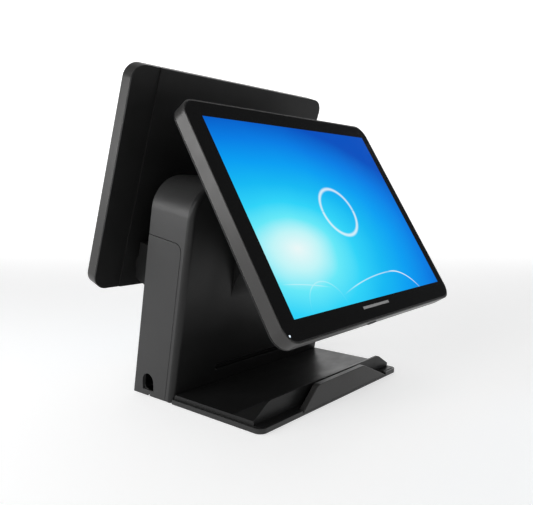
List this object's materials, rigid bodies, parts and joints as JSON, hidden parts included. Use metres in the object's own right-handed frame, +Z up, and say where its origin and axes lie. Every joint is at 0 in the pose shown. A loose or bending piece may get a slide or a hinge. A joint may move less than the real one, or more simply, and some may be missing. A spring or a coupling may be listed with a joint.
{
  "type": "point-of-sale touchscreen terminal",
  "caption": "Two-sided checkout terminal: a leaning column on a flat base with a pen tray carries a tilting operator touchscreen and a tilting customer screen.",
  "frame": {"origin": "middle of the whole terminal's footprint, heads included, on the surface that it stands on", "axes": "+X to the operator's right, +Y from the operator to the customer, +Z up"},
  "size_m": [0.345, 0.318, 0.3877],
  "materials": {
    "gray_shell": "fine-textured dark gray moulded plastic, satin",
    "dark_gray": "near-black gray moulded plastic, satin",
    "gloss_black": "polished black moulded plastic",
    "black_satin": "fine-textured black moulded plastic",
    "metal_band": "satin gunmetal coating",
    "lip_metal": "satin gray, worn bright on its edges",
    "cover_glass": "black-bordered toughened glass, polished",
    "screen": "lit display",
    "foam": "closed-cell foam",
    "rubber_black": "matte rubber",
    "steel_plate": "zinc-plated sheet",
    "steel_dark": "oiled steel",
    "brass": "turned brass",
    "board": "solder-masked circuit board",
    "heat_sink": "anodised, extruded",
    "port_metal": "nickel-plated shells",
    "dark_plastic": "moulded plastic",
    "lens_clear": "clear light pipe"
  },
  "bodies": {
    "stand": {"base_plate": "dark_gray", "base_deck": "gloss_black", "front_lip": "lip_metal", "rubber_feet": "rubber_black", "base_screws": "steel_dark", "ballast_plate": "steel_plate", "column_shell": "gray_shell", "column_front": "gloss_black", "column_rear": "black_satin", "spine": "steel_plate", "operator_neck": "gloss_black", "customer_neck": "black_satin", "operator_bracket": "steel_plate", "customer_bracket": "steel_plate", "operator_shaft": "steel_dark", "customer_shaft": "steel_dark", "hinge_washers": "brass", "hinge_nuts": "steel_dark", "mainboard": "board", "heat_sink": "heat_sink", "memory_module": "board", "io_connectors": "port_metal", "drive": "heat_sink", "power_board": "board", "standoffs": "brass", "speakers": "dark_plastic"},
    "operator_head": {"operator_glass": "cover_glass", "operator_gasket": "foam", "operator_lcd": "screen", "operator_rails": "steel_plate", "operator_bezel": "metal_band", "operator_housing": "black_satin", "operator_panel": "black_satin", "operator_board": "board", "operator_arm": "steel_plate", "operator_screws": "steel_dark", "status_lens": "lens_clear"},
    "customer_head": {"customer_glass": "cover_glass", "customer_gasket": "foam", "customer_lcd": "screen", "customer_rails": "steel_plate", "customer_bezel": "metal_band", "customer_housing": "black_satin", "customer_panel": "black_satin", "customer_board": "board", "customer_arm": "steel_plate", "customer_screws": "steel_dark"},
    "power_key": {"power_button": "dark_plastic", "button_spring": "steel_dark"},
    "cover_left": {"side_cover_left": "gray_shell"},
    "cover_right": {"side_cover_right": "gray_shell"}
  },
  "joints": [
    {"name": "operator_tilt", "type": "hinge", "parent": "stand", "child": "operator_head", "pos_m": [0, -0.04116, 0.20196], "axis": [1, 0, 0], "range_deg": [-15, 15]},
    {"name": "customer_tilt", "type": "hinge", "parent": "stand", "child": "customer_head", "pos_m": [0, 0.11398, 0.15601], "axis": [1, 0, 0], "range_deg": [-15, 5]},
    {"name": "power_press", "type": "slide", "parent": "operator_head", "child": "power_key", "axis": [0, 0.524, 0.8517], "range_m": [0, 0.001], "stiffness_N_per_m": 900},
    {"name": "cover_left_pull", "type": "slide", "parent": "stand", "child": "cover_left", "axis": [-1, 0, 0], "range_m": [0, 0.04]},
    {"name": "cover_right_pull", "type": "slide", "parent": "stand", "child": "cover_right", "axis": [1, 0, 0], "range_m": [0, 0.04]}
  ]
}
